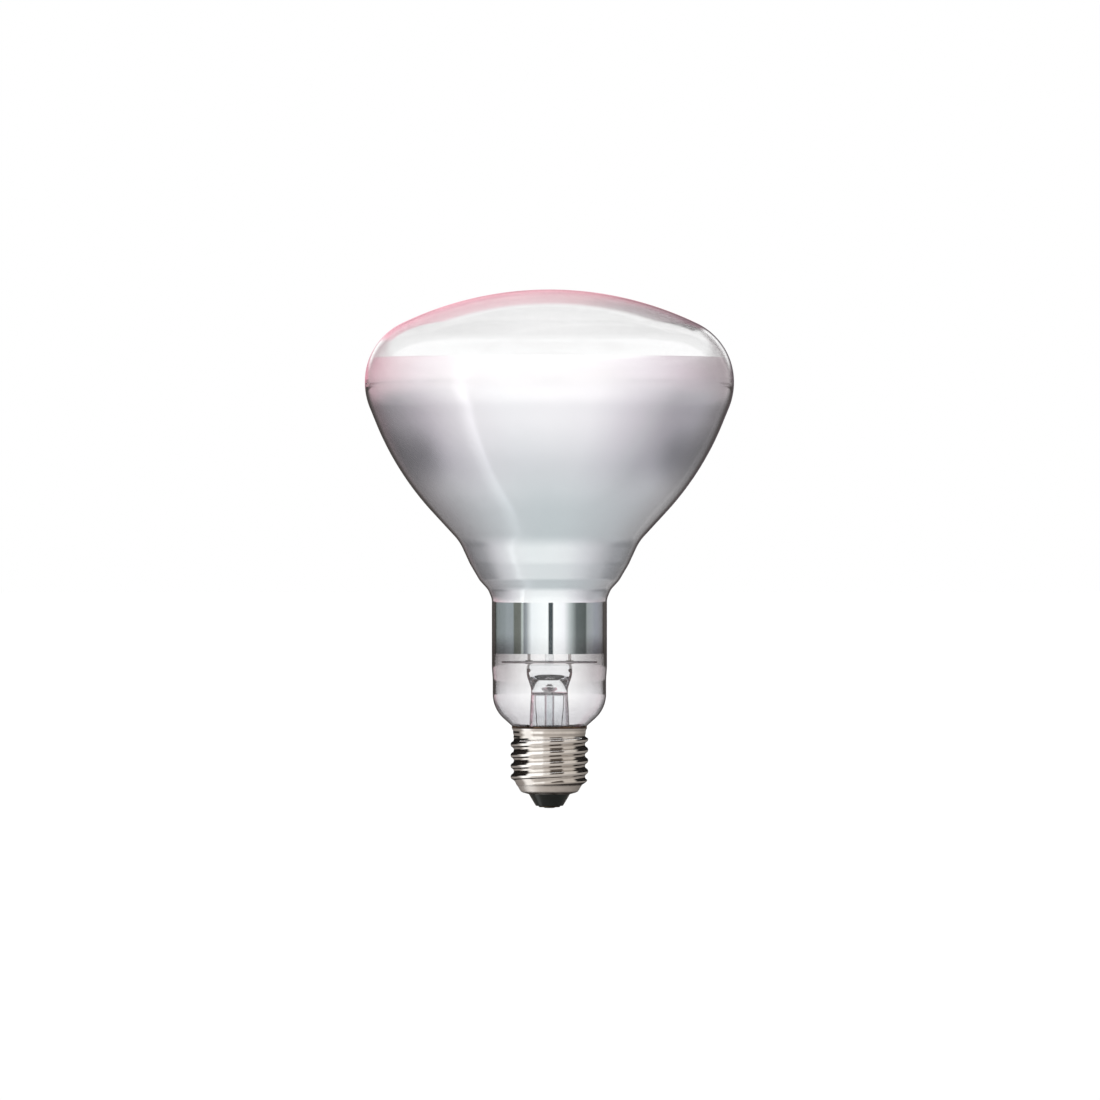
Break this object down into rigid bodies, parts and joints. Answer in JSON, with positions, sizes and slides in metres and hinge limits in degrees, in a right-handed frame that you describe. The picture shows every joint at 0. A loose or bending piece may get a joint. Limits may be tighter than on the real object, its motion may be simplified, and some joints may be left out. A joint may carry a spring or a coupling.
{
  "type": "infrared heat lamp bulb",
  "caption": "Reflector heat lamp with a clear domed front, a mirrored flared body on a narrow clear neck, a glass stem inside and an Edison screw cap.",
  "frame": {"origin": "tip of the centre contact on the lamp's axis, where the cap bottoms in its holder", "axes": "+Z along the lamp's axis from the contact tip to the glass front; X across the two lead-in wires, +X towards the lead that feeds the screw shell; the picture looks along +Y"},
  "size_m": [0.125, 0.125, 0.1755],
  "materials": {
    "bulb_glass": "clear blown glass, polished",
    "mirror_film": "bright evaporated aluminium",
    "stem_glass": "clear lead glass",
    "seal_wire": "copper-clad wire, oxidised at the seal",
    "lead_wire": "nickel-plated iron wire",
    "copper_wire": "bare copper",
    "deflector_sheet": "rolled sheet, satin",
    "eyelet_metal": "nickel-plated, pressed",
    "hook_wire": "molybdenum wire",
    "filament_wire": "tungsten, dark grey",
    "cap_shell": "nickel-plated brass, rolled, satin",
    "black_glass": "black glass, glossy",
    "contact_brass": "pressed brass, dull",
    "solder": "tin solder, cooled dull grey",
    "cement": "brown baked cement, matt"
  },
  "bodies": {
    "root": {"glass_bulb": "bulb_glass", "mirror_coating": "mirror_film", "stem_flare": "stem_glass", "exhaust_tube": "stem_glass", "glass_arbor": "stem_glass", "seal_wire_left": "seal_wire", "seal_wire_right": "seal_wire", "inner_lead_left": "lead_wire", "inner_lead_right": "lead_wire", "outer_lead_centre": "copper_wire", "outer_lead_side": "copper_wire", "heat_deflector": "deflector_sheet", "deflector_eyelet_left": "eyelet_metal", "deflector_eyelet_right": "eyelet_metal", "support_hook_1": "hook_wire", "support_hook_2": "hook_wire", "support_hook_3": "hook_wire", "support_hook_4": "hook_wire", "support_hook_5": "hook_wire", "filament": "filament_wire", "screw_shell": "cap_shell", "cap_insulator": "black_glass", "contact_plate": "contact_brass", "centre_solder": "solder", "side_solder": "solder", "basing_cement": "cement"}
  },
  "joints": []
}
